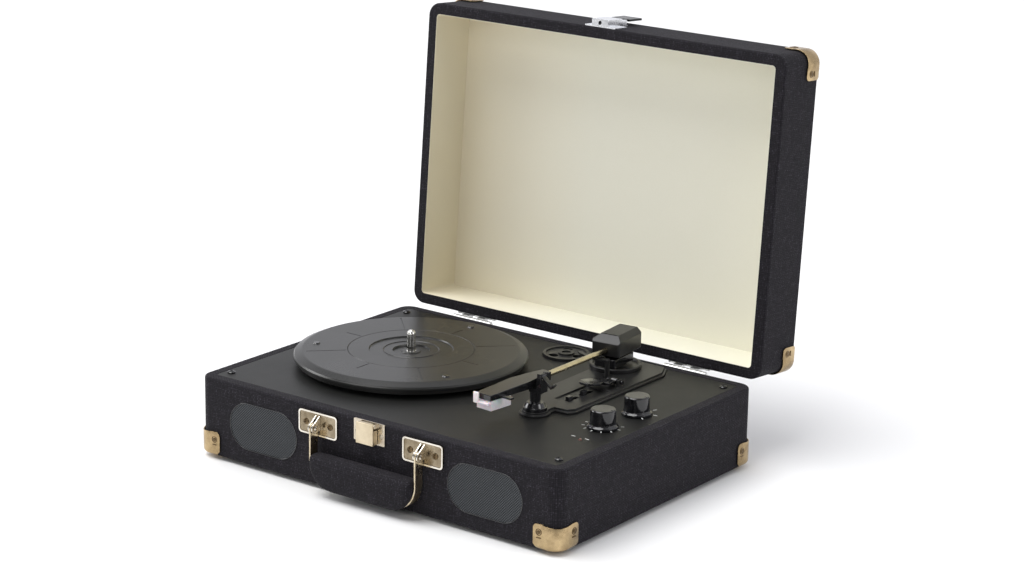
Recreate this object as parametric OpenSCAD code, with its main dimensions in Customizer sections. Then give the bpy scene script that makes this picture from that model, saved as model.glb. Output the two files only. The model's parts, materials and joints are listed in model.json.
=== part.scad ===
// Suitcase record player: a cloth-covered wooden case with a hinged lid, a belt-driven
// platter, a pivoted tonearm, two front speakers, a carry handle and brass corners.
// Case frame: X across, Y from the front face to the back, Z up from the case underside.
// The lid stands open and the tonearm lies in its rest.

/* [Case] */
// width over the cloth
case_w = 352; // [300:1:420]
// depth over the cloth
case_d = 259; // [220:1:320]
// height of the base without its feet
base_h = 62.5; // [58:0.5:80]
// depth of the lid
lid_h = 50; // [46:0.5:70]
// thickness of the wooden walls
wood_t = 8.5; // [6:0.5:12]
// thickness of the covering cloth
cloth_t = 0.65; // [0.4:0.05:1]
// thickness of the bottom board and of the lid board
board_t = 4; // [3:0.5:6]
// radius of the upright corners
corner_r = 11; // [8:1:16]
// height of the rubber feet
foot_h = 4; // [3:0.5:8]
// angle at which the lid stands open
open_angle = 94.3; // [90:0.1:110]
// gap between base and lid when shut
seam = 0.7; // [0.3:0.1:2]
// thickness of the moulded deck
deck_t = 3; // [2:0.5:4]

/* [Platter] */
// platter centre, across
platter_x = -67; // [-80:0.5:-50]
// platter centre, from the front
platter_y = 130.5; // [120:0.5:140]
// platter radius
platter_r = 94; // [80:1:100]
// height of the platter top in the case
platter_top = 75; // [72:0.5:80]
// spindle radius
spindle_r = 3.55; // [3.5:0.01:3.6]
// radius of the shaft below the platter top
shaft_r = 4; // [3.8:0.05:5]
// height of the spindle tip in the case
spindle_tip = 90.8; // [86:0.2:95]
// radius of the belt ring under the platter
belt_ring_r = 72; // [60:1:78]
// radius of the motor pulley
pulley_r = 6; // [4:0.5:8]

/* [Tonearm] */
// pivot, across
pivot_x = 70; // [60:0.5:90]
// pivot, from the front
pivot_y = 220; // [200:0.5:235]
// height of the pivot pin
pivot_z = 82.8; // [78:0.2:90]
// turn of the arm from straight ahead when it lies in its rest
arm_turn = 5.7; // [0:0.1:10]
// rise of the tube towards its front end
arm_rise = 2.7; // [0:0.1:6]
// distance from the pivot to the front end of the tube
tube_end = 110.6; // [90:0.2:130]
// tube radius
tube_r = 2.3; // [2:0.1:4]
// inward turn of the headshell on the tube
shell_turn = 11.3; // [0:0.1:25]
// length of the headshell
shell_l = 68; // [50:1:75]
// height of the arm plate on the deck
arm_plate_h = 3.5; // [2:0.5:6]

/* [Hardware] */
// distance from the middle to each handle leg
leg_x = 51.2; // [40:0.2:70]
// height of the handle pins
handle_z = 47.5; // [40:0.5:52]
// how far the handle pins stand in front of the case
handle_out = 6.5; // [5:0.5:10]
// depth of the handle strap
strap_w = 9; // [7:0.5:9]
// thickness of the handle strap
strap_t = 1.5; // [1:0.1:3]
// underside of the padded grip in the case
grip_low = 1.8; // [1:0.1:4]
// bend radius at the foot of the handle strap
strap_bend = 20; // [14:1:26]
// thickness of the handle grip, front to back
grip_w = 15; // [12:0.5:20]
// offset of the latch from the middle
latch_x = -0.7; // [-4:0.1:4]
// thickness of the brass corners
brass_t = 0.8; // [0.5:0.1:1.5]
// reach of a brass corner along each face
brass_reach = 23; // [16:1:30]
// height of a brass corner
brass_h = 20; // [14:1:26]
// distance from the middle to each hinge
hinge_x = 108; // [80:1:130]
// distance from the middle to each speaker
speaker_x = 108.5; // [90:0.5:120]
// height of the speakers in the case
speaker_z = 30.5; // [26:0.5:36]
// width of a speaker grille
grille_w = 69; // [50:1:80]
// height of a speaker grille
grille_h = 38; // [30:1:44]

/* [Hidden] */
$fn = 48;
eps = 0.01;
wall = wood_t + cloth_t;
lid_z = base_h + seam;
lid_top = lid_z + lid_h;
ceiling = lid_top - cloth_t - board_t;
deck_low = base_h - deck_t;
lining_t = 0.4;
hinge_y = case_d + 3.96;
hinge_z = base_h - 2.71;
barrel_r = 2.6;
grip_front = -1.5 - grip_w;
lid_back = hinge_y + (hinge_y + brass_t) * -cos(open_angle) + (lid_top + brass_t - hinge_z) * sin(open_angle);
mid_y = (grip_front + lid_back) / 2;
motor_gap = belt_ring_r + pulley_r + 2.4;
motor_x = platter_x - motor_gap * cos(45);
motor_y = platter_y + motor_gap * sin(45);
arm_floor = base_h + arm_plate_h;
rest_x = 84.4;
rest_y = 93;
rest_turn = arm_turn - shell_turn;
cue_r = 30;
cue_x = 98;
cue_y = 180;
cue_z = arm_floor + 3.6;
speed_x = 89.5;
speed_y = 134;
stop_y = 152.7;
volume_at = [143.5, 98.5];
mode_at = [145, 141];
adapter_at = [15, 229];
panel_x = 105;
panel_z = 26;

black_cloth = [0.13, 0.12, 0.14];
wood = [0.62, 0.48, 0.32];
deck_black = [0.12, 0.12, 0.11];
gloss_black = [0.05, 0.05, 0.06];
steel = [0.72, 0.72, 0.7];
nickel = [0.78, 0.74, 0.66];
brass = [0.68, 0.54, 0.3];
cream = [0.87, 0.85, 0.76];

// ---------- shared shapes ----------
module place() { translate([0, -mid_y, foot_h]) children(); }

module rrect(w, d, r) {
    square([w - 2 * r, d], center = true);
    square([w, d - 2 * r], center = true);
    for (x = [-1, 1], y = [-1, 1]) translate([x * (w / 2 - r), y * (d / 2 - r)]) circle(r);
}

module rbox(w, d, h, r) { linear_extrude(h) rrect(w, d, r); }

// a rounded box on the case outline, from z0 to z1, drawn in by inset on every side
module case_block(z0, z1, inset = 0, r = corner_r) {
    translate([0, case_d / 2, z0]) rbox(case_w - 2 * inset, case_d - 2 * inset, z1 - z0, r);
}

module rod_x(r, l) { rotate([0, 90, 0]) cylinder(r = r, h = l, center = true); }
module rod_y(r, l) { rotate([90, 0, 0]) cylinder(r = r, h = l, center = true); }

// a plate in the XZ plane with rounded corners, from y = 0 towards -Y
module front_plate(w, h, t, r) { rotate([90, 0, 0]) rbox(w, h, t, r); }

module stadium_cut(w, h, y0, y1) {
    translate([0, y1, 0]) front_plate(w, h, y1 - y0, h / 2 - eps);
}

module mirror_x() { for (s = [-1, 1]) scale([s, 1, 1]) children(); }

module screw_head(r, h) {
    difference() {
        intersection() {
            cylinder(r = r, h = h);
            translate([0, 0, h - 1.6 * r]) sphere(1.6 * r);
        }
        for (a = [0, 90]) rotate(a) translate([-r * 0.6, -0.3, h * 0.55]) cube([r * 1.2, 0.6, h]);
    }
}

module opened() {
    translate([0, hinge_y, hinge_z]) rotate([-open_angle, 0, 0]) translate([0, -hinge_y, -hinge_z]) children();
}

// ---------- base ----------
module speaker_cuts(w, h) {
    mirror_x() translate([speaker_x, 0, speaker_z]) stadium_cut(w, h, -1, wall + 1);
}

module panel_cut(w, h) {
    translate([panel_x - w / 2, case_d - wall - 1, panel_z - h / 2]) cube([w, wall + 2, h]);
}

module bracket_screw_holes() {
    mirror_x() for (x = [-12, 12]) translate([leg_x + x, 3, 49]) rod_y(1.25, 8.4);
}

module base_walls() color(wood) {
    difference() {
        case_block(board_t, base_h - cloth_t, cloth_t, corner_r - cloth_t);
        case_block(board_t - 1, base_h, wall, 3);
        speaker_cuts(grille_w - 5, grille_h - 5);
        panel_cut(64, 26);
        bracket_screw_holes();
    }
    // blocks glued in the corners carry the deck screws
    mirror_x() for (y = [wall + 9, case_d - wall - 9])
        translate([case_w / 2 - wall - 9, y, board_t]) difference() {
            rbox(18, 18, deck_low - board_t, 3);
            translate([160 - case_w / 2 + wall + 9, sign(case_d / 2 - y) * 2, deck_low - board_t - 20])
                cylinder(r = 1.5, h = 21);
        }
}

module base_bottom() color([0.1, 0.1, 0.1]) difference() {
    case_block(0, board_t, cloth_t, corner_r - cloth_t);
    mirror_x() for (y = [26, case_d - 26]) translate([146, y, -1]) cylinder(r = 1.5, h = 4);
}

module base_wrap() color(black_cloth) difference() {
    case_block(0, base_h);
    case_block(-1, base_h - cloth_t, cloth_t, corner_r - cloth_t);
    case_block(-1, base_h + 1, wall, 3);
    speaker_cuts(grille_w, grille_h);
    panel_cut(64, 26);
    bracket_screw_holes();
}

module deck_plate() color(deck_black) {
    difference() {
        case_block(deck_low, base_h, wall + 0.2, 2.8);
        translate([platter_x, platter_y, 0]) cylinder(r = 6.5, h = 100);
        translate([motor_x, motor_y, 0]) cylinder(r = pulley_r + 2, h = 100);
        translate([adapter_at[0], adapter_at[1], base_h - 1.3]) cylinder(r = 19.3, h = 10);
        for (p = [volume_at, mode_at]) translate([p[0], p[1], 0]) cylinder(r = 3.6, h = 100);
        translate([pivot_x, pivot_y, 0]) cylinder(r = 6, h = 100);
        translate([pivot_x + cue_r * sin(22), pivot_y - cue_r * cos(22), 0]) cylinder(r = 2.6, h = 100);
        mirror_x() for (y = [20.15, case_d - 20.15]) translate([160, y, 0]) cylinder(r = 1.7, h = 100);
        translate([146, 66, 0]) cylinder(r = 1.5, h = 100);
    }
    translate([adapter_at[0], adapter_at[1], base_h - 1.3 - eps]) cylinder(r = 3.3, h = 3);
}

module deck_screws() color(gloss_black)
    mirror_x() for (y = [20.15, case_d - 20.15]) translate([160, y, 0]) {
        translate([0, 0, deck_low - 16]) cylinder(r = 1.5, h = 16 + deck_t + eps);
        translate([0, 0, base_h]) screw_head(3.2, 2);
    }

module power_led() color([0.85, 0.2, 0.1]) translate([146, 66, base_h - deck_t - 3]) {
    cylinder(r = 1.45, h = deck_t + 3);
    translate([0, 0, deck_t + 2.9]) cylinder(r1 = 1.45, r2 = 1, h = 0.9);
}

// ---------- platter drive ----------
module platter() color([0.1, 0.1, 0.1]) translate([platter_x, platter_y, 0]) {
    top = platter_top;
    r = platter_r;
    difference() {
        rotate_extrude() polygon([
            [shaft_r + 0.01, top - 10], [10, top - 10], [10, top - 3.4], [belt_ring_r - 2.2, top - 3.4],
            [belt_ring_r - 2.2, top - 9], [belt_ring_r, top - 9], [belt_ring_r, top - 3.4],
            [r - 5.5, top - 3.8], [r - 5.5, top - 8.8], [r - 2.2, top - 8.8], [r - 2.2, top - 5.8],
            [r, top - 5.2], [r, top - 3.9], [r - 1, top - 2.6], [r - 6.4, top - 0.2],
            [r - 7.4, top], [51.2, top], [50.8, top - 0.5], [50.4, top],
            [34, top], [33.3, top - 1], [23, top - 1], [22.4, top - 0.5], [21.8, top - 1],
            [15, top - 1], [14.4, top - 2.4], [8, top - 2.4], [7.4, top - 1.6], [shaft_r + 0.01, top - 1.6]
        ]);
        for (i = [0:7]) rotate(i * 45) translate([52.5, -0.4, top - 0.4])
            cube([i % 2 == 1 ? 31.5 : 15, 0.8, 1]);
        for (i = [0:2]) rotate(89.5 + i * 120) translate([77, 0, top - 2]) cylinder(r = 2, h = 3);
    }
}

module platter_studs() color(gloss_black) translate([platter_x, platter_y, 0])
    for (i = [0:2]) rotate(89.5 + i * 120) translate([77, 0, platter_top - 2]) {
        cylinder(r = 1.98, h = 2 + eps);
        translate([0, 0, 2]) cylinder(r1 = 3.2, r2 = 2.4, h = 0.9);
    }

module spindle() color(steel) translate([platter_x, platter_y, 0]) rotate_extrude() polygon(concat(
    [[0, 46], [shaft_r, 46], [shaft_r, platter_top - 1.6], [spindle_r, platter_top - 1.6], [spindle_r, spindle_tip - 3.4]],
    [for (a = [15:15:90]) [spindle_r * cos(a), spindle_tip - 3.4 + 3.4 * sin(a)]]
));

module spindle_bush() color(brass) translate([platter_x, platter_y, 0]) rotate_extrude() polygon([
    [shaft_r + 0.05, 47], [6.5, 47], [6.5, deck_low - 2], [10, deck_low - 2], [10, deck_low],
    [6.5, deck_low], [6.5, base_h + 1.5], [5.6, base_h + 2.4], [shaft_r + 0.05, base_h + 2.4]
]);

module belt_outline(grow) {
    hull() {
        translate([platter_x, platter_y]) circle(belt_ring_r + grow, $fn = 120);
        translate([motor_x, motor_y]) circle(pulley_r + grow, $fn = 60);
    }
}

module drive_belt() color([0.08, 0.08, 0.08]) translate([0, 0, platter_top - 8.6])
    linear_extrude(4) difference() {
        belt_outline(0.9);
        belt_outline(0.15);
    }

module motor() color(steel) translate([motor_x, motor_y, 0]) {
    difference() {
        union() {
            translate([0, 0, 31]) cylinder(r = 16, h = 22.5);
            translate([0, 0, 53.5 - eps]) cylinder(r = 22, h = 1.5);
        }
        translate([0, 0, 33]) cylinder(r = 1.05, h = 30);
    }
}

module motor_pulley() color(brass) translate([motor_x, motor_y, 0]) {
    translate([0, 0, 34]) cylinder(r = 1, h = 34);
    translate([0, 0, platter_top - 9.2]) rotate_extrude() polygon([
        [0.5, 0], [pulley_r + 0.8, 0], [pulley_r + 0.8, 0.4], [pulley_r, 0.5],
        [pulley_r, 4.7], [pulley_r + 0.8, 4.8], [pulley_r + 0.8, 5.2], [0.5, 5.2]
    ]);
}

module motor_grommets() color(gloss_black) translate([motor_x, motor_y, 0])
    for (a = [30, 150, 270]) rotate(a) translate([18.5, 0, 55]) difference() {
        cylinder(r = 3, h = deck_low - 55);
        translate([0, 0, -1]) cylinder(r = 1.2, h = 8);
    }

module adapter_45() color(deck_black) translate([adapter_at[0], adapter_at[1], base_h - 1.2]) {
    difference() {
        cylinder(r = 19.05, h = 3.4);
        translate([0, 0, 2.2]) cylinder(r = 16.5, h = 3);
        for (a = [0, 120, 240]) rotate(a) translate([11.4, 0, -1]) cylinder(r = 4.1, h = 9);
        translate([0, 0, -1]) cylinder(r = spindle_r + 0.1, h = 9);
    }
    difference() {
        translate([0, 0, 2]) cylinder(r = 6.8, h = 1.8);
        translate([0, 0, -1]) cylinder(r = spindle_r + 0.1, h = 9);
    }
}

// ---------- tonearm ----------
module arm_plate_shape(inset) {
    polygon([
        [80 + inset, 104 + inset], [106 - inset, 105.5 + inset], [109.5 - inset, 112 + inset / 2],
        [109.5 - inset, 231], [102 - inset / 2, 246 - inset], [60 + inset, 246 - inset],
        [55 + inset, 240], [57 + inset, 150 + inset / 2], [70 + inset, 112]
    ]);
    translate([rest_x, rest_y]) circle(12 - inset);
    translate([rest_x - 10 + inset, rest_y]) square([20 - 2 * inset, 20]);
}

module tonearm_base() color(deck_black) difference() {
    union() {
        translate([0, 0, base_h]) linear_extrude(1.8) arm_plate_shape(0);
        translate([0, 0, base_h + 1.8 - eps]) linear_extrude(arm_plate_h - 1.8 + eps) arm_plate_shape(2);
        // cheeks that carry the cue lever
        for (x = [cue_x - 5.6, cue_x + 3]) translate([x, cue_y - 4, base_h + 1]) cube([2.2, 8, cue_z - base_h + 1]);
    }
    // sunken floor for the two slide switches
    translate([0, 0, arm_floor - 1.2]) linear_extrude(5)
        polygon([[80, 124], [100, 124], [103, 128], [103, 165], [80, 165]]);
    for (y = [speed_y, stop_y]) translate([speed_x - 1.9, y - 7, base_h - 1]) cube([3.8, 14, 9]);
    translate([pivot_x, pivot_y, 0]) cylinder(r = 6, h = 100);
    translate([pivot_x + cue_r * sin(22), pivot_y - cue_r * cos(22), 0]) cylinder(r = 2.6, h = 100);
    translate([cue_x - 0.6, cue_y, cue_z]) rod_x(1.6, 30);
}

module pivot_pedestal() color(deck_black) translate([pivot_x, pivot_y, 0]) rotate_extrude() polygon([
    [3.05, base_h - 8], [5.95, base_h - 8], [5.95, arm_floor], [21, arm_floor], [21, arm_floor + 3.2],
    [20.2, arm_floor + 3.8], [18.4, arm_floor + 3.8], [17.6, arm_floor + 2],
    [10, arm_floor + 2], [9, arm_floor + 2.8], [3.05, arm_floor + 2.8]
]);

module arm_axes() { translate([pivot_x, pivot_y, 0]) rotate(arm_turn) children(); }

module tonearm_yoke() color(gloss_black) arm_axes() difference() {
    union() {
        translate([0, 0, base_h - 6]) cylinder(r = 3, h = 10 + arm_plate_h);
        translate([0, 0, arm_floor + 3]) cylinder(r = 8.5, h = 2);
        translate([0, -3, arm_floor + 4.3]) rbox(19, 32, 6.9, 2);
        translate([0, 0, arm_floor + 11]) rbox(11, 13, pivot_z - arm_floor - 7.6, 1.5);
    }
    translate([0, 0, pivot_z]) rod_x(1.5, 30);
}

module arm_pivot_pin() color(steel) arm_axes() translate([0, 0, pivot_z]) rod_x(1.5, 20.6);

module tonearm_housing() color(gloss_black) arm_axes() difference() {
    translate([0, 1, 0]) difference() {
        translate([0, 0, pivot_z - 3.2]) rbox(25, 38, 16, 2);
        // sloping shoulders at the front and on both sides
        translate([0, -19, pivot_z + 12.8]) rotate([38, 0, 0]) cube([40, 11, 9], center = true);
        for (s = [-1, 1]) translate([s * 12.5, 0, pivot_z + 12.8]) rotate([0, s * 40, 0]) cube([9, 60, 6], center = true);
    }
    translate([0, 0.5, pivot_z - 4]) rbox(14.4, 21, 12, 1);
    translate([0, 0, pivot_z]) rod_x(1.55, 21.2);
    // seat of the tube
    rotate([-arm_rise, 0, 0]) tube_core(tube_r);
    translate([0, 15.8, pivot_z + 1]) cube([12.02, 6.02, 6.02], center = true);
}

// the tube's axis rises from the pivot towards the front
module tube_core(r) {
    translate([0, 0, pivot_z * cos(arm_rise)]) translate([0, pivot_z * sin(-arm_rise), 0])
        rotate([90, 0, 0]) translate([0, 0, 12]) cylinder(r = r, h = tube_end - 12);
}

module tonearm_tube() color([0.72, 0.62, 0.4]) arm_axes() rotate([-arm_rise, 0, 0]) tube_core(tube_r);

module counterweight() color(steel) arm_axes() translate([0, 15.8, pivot_z + 1]) cube([12, 6, 6], center = true);

shell_z = pivot_z + (tube_end - 1) * sin(arm_rise);
module shell_axes() {
    arm_axes() translate([0, -tube_end * cos(arm_rise) + 4, 0]) rotate(-shell_turn) children();
}

module headshell() color(gloss_black) difference() {
    union() {
        shell_axes() difference() {
            translate([0, 0, shell_z - 3.6]) linear_extrude(6.8) polygon([
                [-4.2, -1], [4.2, -1], [5, -6], [8.2, -30], [7.2, -shell_l - 4],
                [-7.2, -shell_l - 4], [-9.4, -34], [-5, -6]
            ]);
            // the top slopes down to the front
            translate([-20, -shell_l - 10, shell_z + 0.4]) rotate([2.6, 0, 0]) cube([40, shell_l + 40, 9]);
            // pocket for the cartridge
            translate([-6.1, -shell_l - 1, shell_z - 9]) cube([12.2, 21.2, 7.2]);
        }
        // finger lift
        shell_axes() translate([7, -shell_l + 6, shell_z - 2.6]) cube([11, 4.5, 1.6]);
    }
    arm_axes() rotate([-arm_rise, 0, 0]) tube_core(tube_r);
}

module cartridge() color([0.12, 0.12, 0.13]) shell_axes()
    translate([-6, -shell_l - 0.8, shell_z - 8.4]) difference() {
        cube([12, 20.8, 6.6]);
        translate([-1, -1, -1]) cube([14, 7, 3.2]);
    }

module stylus() color([0.75, 0.15, 0.12]) shell_axes() translate([0, -shell_l + 2.7, shell_z - 8.6]) {
    translate([-2.5, -3.2, 0.4]) cube([5, 5.6, 2]);
    translate([0, -1, -0.9]) cylinder(r1 = 0.3, r2 = 0.8, h = 1.5);
}

module stylus_guard() color([0.93, 0.82, 0.84]) shell_axes() translate([0, -shell_l - 0.8, shell_z]) {
    difference() {
        translate([-7.3, -2.4, -11.6]) cube([14.6, 22, 7.6]);
        translate([-6.2, -0.3, -9.8]) cube([12.4, 30, 9]);
    }
    translate([-7.3, -6, -6.5]) cube([14.6, 3.7, 1.8]);
    translate([-7.3, -6.6, -6.5]) cube([5, 1.6, 8.4]);
}

module arm_rest() color(gloss_black) translate([rest_x, rest_y, 0]) difference() {
    union() {
        translate([0, 0, arm_floor]) cylinder(r1 = 9.4, r2 = 9.4, h = 2.6);
        translate([0, 0, arm_floor + 2.6 - eps]) cylinder(r1 = 8.6, r2 = 6.6, h = 3.4);
        translate([0, 0, arm_floor + 5]) cylinder(r = 4.2, h = shell_z - 4.2 - arm_floor - 5);
        translate([-3, -4.6, shell_z - 7.4]) cube([10.4, 9.2, 3.2]);
        translate([4.6, -4.6, shell_z - 7.4]) cube([3.6, 9.2, 12]);
        for (y = [-4.6, 2.8]) translate([4.6, y, shell_z + 2]) cube([3.6, 1.8, 6.2]);
    }
    translate([6.4, 0, shell_z + 6.2]) rod_y(1.05, 20);
    translate([6.4, 0, shell_z + 6.2]) rod_y(3.4, 5.6);
}

module arm_clip() color(gloss_black) translate([rest_x + 6.4, rest_y, shell_z + 6.2]) {
    rod_y(1, 9.2);
    rod_y(1.8, 5);
    rotate([0, 40, 0]) {
        translate([0, -2.5, -0.8]) cube([13, 5, 1.6]);
        translate([11.6, -2.5, -0.8]) cube([1.4, 5, 4.2]);
    }
}

module cue_lever() color(gloss_black) {
    translate([cue_x - 0.6, cue_y, cue_z]) {
        rod_x(1.55, 14);
        translate([-0.2, 0, 0]) rod_x(2.6, 5);
        translate([-2.7, -12, -0.6]) cube([5, 12, 2]);
        translate([-9.1, -19.5, 0.9]) rotate([-6, 0, 0]) intersection() {
            scale([1, 1.25, 1]) cylinder(r = 8.6, h = 1.8);
            cube([40, 21.6, 40], center = true);
        }
        translate([-9, -13, -0.6]) cube([9, 4, 2.4]);
    }
}

module cue_platform() color(gloss_black) translate([pivot_x, pivot_y, 0]) {
    rotate(-90 + 22) translate([cue_r, 0, base_h - 6]) cylinder(r = 2, h = pivot_z + 0.7 - 2.9 - base_h + 6);
    translate([0, 0, pivot_z - 3.6]) rotate([0, 0, -90 - 38]) rotate_extrude(angle = 60 + 3)
        translate([cue_r - 1.8, 0]) square([3.6, 1.9]);
}

module slide_switch(y) {
    translate([speed_x - 1.7, y - 2.6, base_h + 0.1]) cube([3.4, 5.2, arm_plate_h + 2]);
}

module speed_switch() color(gloss_black) slide_switch(speed_y - 4);
module autostop_switch() color(gloss_black) slide_switch(stop_y - 4);

// ---------- controls ----------
module knob(at) color(gloss_black) translate([at[0], at[1], base_h + 0.3]) difference() {
    rotate_extrude() polygon([
        [3.05, 0], [11.9, 0], [11.9, 1.9], [11.2, 2.6], [10.3, 3.1], [10, 4], [9.7, 14.2],
        [9, 15], [7.6, 15.2], [0, 15], [0, 12.2], [3.05, 12.2]
    ]);
    translate([7, -0.35, 14.7]) cube([3, 0.7, 2]);
}

module volume_knob() knob(volume_at);
module mode_knob() knob(mode_at);

module control_pots() color(steel) for (p = [volume_at, mode_at]) translate([p[0], p[1], 0]) {
    translate([0, 0, deck_low - 10]) cylinder(r = 8.5, h = 10);
    translate([0, 0, deck_low - eps]) cylinder(r = 3.4, h = deck_t);
    cylinder_shaft();
}

module cylinder_shaft() { translate([0, 0, deck_low]) cylinder(r = 3, h = 14); }

module circuit_board() color([0.1, 0.35, 0.18]) translate([30, 190, board_t]) {
    for (x = [-38, 38], y = [-24, 24]) translate([x, y, 0]) cylinder(r = 3, h = 8);
    translate([0, 0, 8 - eps]) rbox(90, 60, 1.6, 2);
    for (p = [[-20, 10, 5, 11], [-5, 12, 5, 11], [14, 10, 4, 8]]) translate([p[0], p[1], 9.5]) cylinder(r = p[2], h = p[3]);
    translate([-30, -20, 9.5]) cube([22, 16, 3]);
    translate([8, -22, 9.5]) cube([26, 8, 14]);
}

// ---------- speakers ----------
module speaker_drivers() color(steel) mirror_x() translate([speaker_x, wall, speaker_z]) {
    difference() {
        translate([0, 2, 0]) front_plate(78, 46, 2, 6);
        stadium_cut(grille_w - 5, grille_h - 5, -1, 4);
    }
    for (a = [-1, 1]) translate([a * 34, 0, 0]) {
        translate([-2, 1, -5]) cube([4, 13, 10]);
        translate([a > 0 ? -20 : -2, 12, -5]) cube([22, 2, 10]);
    }
    translate([0, 20, 0]) rod_y(17, 12.02);
}

module speaker_cones() color([0.15, 0.14, 0.13]) mirror_x() translate([speaker_x, wall, speaker_z])
    rotate([-90, 0, 0]) rotate_extrude() polygon([
        [0, 8.4], [5, 9.6], [6, 11.4], [15.6, 2.2], [16.2, 2.2], [16.2, 3.2], [6.4, 12.4], [4.4, 10.8], [0, 9.6]
    ]);

module speaker_grilles() color([0.2, 0.22, 0.21])
    mirror_x() translate([speaker_x, 0, speaker_z]) stadium_cut(grille_w, grille_h, 0, cloth_t);

// ---------- handle ----------
module strap_outline(inset) {
    x = leg_x + strap_t / 2 - inset;
    r = strap_bend - inset;
    low = 4 + inset;
    square_x = x - r;
    translate([-x, low + r]) square([2 * x, handle_z - low - r + inset * 2]);
    translate([-square_x, low]) square([2 * square_x, r + 1]);
    for (s = [-1, 1]) translate([s * square_x, low + r]) circle(r);
}

module handle_strap() color(brass) difference() {
    union() {
        translate([0, -handle_out + strap_w / 2, 0]) rotate([90, 0, 0]) linear_extrude(strap_w)
            difference() {
                strap_outline(0);
                strap_outline(strap_t);
            }
        for (s = [-1, 1]) translate([s * leg_x, -handle_out, handle_z]) rod_x(4.4, strap_t);
    }
    for (s = [-1, 1]) translate([s * leg_x, -handle_out, handle_z]) rod_x(1.55, strap_t + 2);
    translate([-leg_x - 3, -handle_out - strap_w, handle_z]) difference() {
        cube([2 * leg_x + 6, 2 * strap_w, 12]);
        translate([leg_x + 3, strap_w, 0]) rod_x(4.4, 2 * leg_x + 20);
    }
}

module grip_bar() {
    translate([0, -1.5 - grip_w / 2, (grip_low + 30) / 2]) rotate([0, 90, 0]) translate([0, 0, -60])
        rbox(30 - grip_low, grip_w, 120, 4.5);
}

// padding between the strap's legs that takes in the strap's lower run
module handle_grip() color(black_cloth) difference() {
    intersection() {
        rotate([90, 0, 0]) translate([0, 0, 0.9]) linear_extrude(grip_w + 1) difference() {
            union() {
                strap_outline(strap_t + 0.02);
                translate([3 - leg_x + strap_bend / 2, grip_low - 1]) square([2 * leg_x - strap_bend - 6, 12]);
            }
            translate([-100, 30]) square([200, 100]);
        }
        grip_bar();
    }
    translate([0, -handle_out + strap_w / 2 + 0.02, 0]) rotate([90, 0, 0]) linear_extrude(strap_w + 0.04)
        difference() {
            strap_outline(-0.02);
            strap_outline(strap_t + 0.02);
        }
}

module bracket_ear(side) {
    translate([leg_x + side * (strap_t / 2 + 0.3 + 0.6), 0, handle_z]) {
        translate([0, -handle_out, 0]) rod_x(4.2, 1.2);
        rotate([90, 0, 90]) translate([0, 0, -0.6]) linear_extrude(1.2)
            polygon([[-handle_out - 3.6, 2], [-1, 9], [-1, -2.6], [-handle_out, -4.2]]);
    }
}

module handle_brackets() color(nickel) mirror_x() difference() {
    union() {
        translate([leg_x, 0, 49]) {
            front_plate(38.4, 19, 1.2, 3);
            difference() {
                front_plate(38.4, 19, 1.8, 3);
                translate([0, 1, 0]) front_plate(35.6, 16.2, 4, 2);
            }
        }
        for (s = [-1, 1]) bracket_ear(s);
    }
    translate([leg_x, -handle_out, handle_z]) rod_x(1.5, 12);
    // slot behind the strap eye
    translate([leg_x - 1.1, -1.3, handle_z - 5.4]) cube([2.2, 2, 10.8]);
    for (x = [-12, 12]) translate([leg_x + x, 0, 49]) rod_y(1.2, 8);
}

module handle_pins() color(nickel) mirror_x() translate([leg_x, -handle_out, handle_z]) {
    rod_x(1.5, 6);
    for (s = [-1, 1]) translate([s * 2.6, 0, 0]) rotate([0, s * 90, 0]) cylinder(r1 = 2.2, r2 = 1.4, h = 1.1);
}

module bracket_screws() color(brass) mirror_x() for (x = [-12, 12]) translate([leg_x + x, 0, 49]) {
    translate([0, -1.2, 0]) rotate([90, 0, 0]) screw_head(2.5, 1.3);
    translate([0, 2.9, 0]) rod_y(1.2, 8.22);
}

// ---------- latch ----------
latch_pin_y = -3.9;
latch_pin_z = 60;
module latch_plate() color(nickel) translate([latch_x, 0, 0]) difference() {
    union() {
        translate([0, 0, 53.65]) front_plate(30, 17.3, 1, 1);
        for (x = [-7.9, 6.9]) {
            translate([x + 0.5, latch_pin_y, latch_pin_z]) rod_x(1.6, 1);
            translate([x, latch_pin_y, latch_pin_z - 1.6]) cube([1, 3.5, 3.2]);
        }
        for (x = [-11.6, 11.6]) translate([x, -1, 52.5]) rotate([90, 0, 0]) screw_head(1.9, 0.9);
    }
    translate([0, latch_pin_y, latch_pin_z]) rod_x(1, 40);
}

module latch_lever() color([0.78, 0.7, 0.52]) translate([latch_x, 0, 0]) difference() {
    translate([-8.25, -6.9, 45.4]) cube([16.5, 5.4, 16.8]);
    translate([-7.1, -5.7, 44]) cube([14.2, 10, 13.4]);
    for (s = [-1, 1]) translate([s * 7.4 - 0.9, -5.7, 57]) cube([1.8, 10, 10]);
    translate([-10, -3.2, 58]) cube([20, 4, 8]);
    translate([0, latch_pin_y, latch_pin_z]) rod_x(1.05, 40);
}

module latch_pin() color(steel) translate([latch_x, latch_pin_y, latch_pin_z]) rod_x(1, 15.8);

// ---------- brass corners ----------
module corner_region(z0, h) {
    x = case_w / 2 + 2;
    for (side = [0, 1]) {
        translate([x - brass_reach - 2, -2, z0]) if (side == 0)
            translate([brass_reach / 2 + 2, corner_r + 2, h / 2]) front_plate(brass_reach + 4, h, corner_r + 4, 3.5);
        if (side == 1) translate([x - corner_r - 2, brass_reach / 2 - 0.4, z0 + h / 2])
            rotate([90, 0, 90]) translate([0, 0, 0]) linear_extrude(corner_r + 4) rrect(brass_reach + 3.2, h, 3.5);
    }
}

module corner_shell(z0, z1, floor_z0) {
    difference() {
        translate([0, case_d / 2, z0]) rbox(case_w + 2 * brass_t, case_d + 2 * brass_t, z1 - z0, corner_r + brass_t);
        translate([0, case_d / 2, floor_z0]) rbox(case_w, case_d, 100, corner_r);
    }
}

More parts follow.
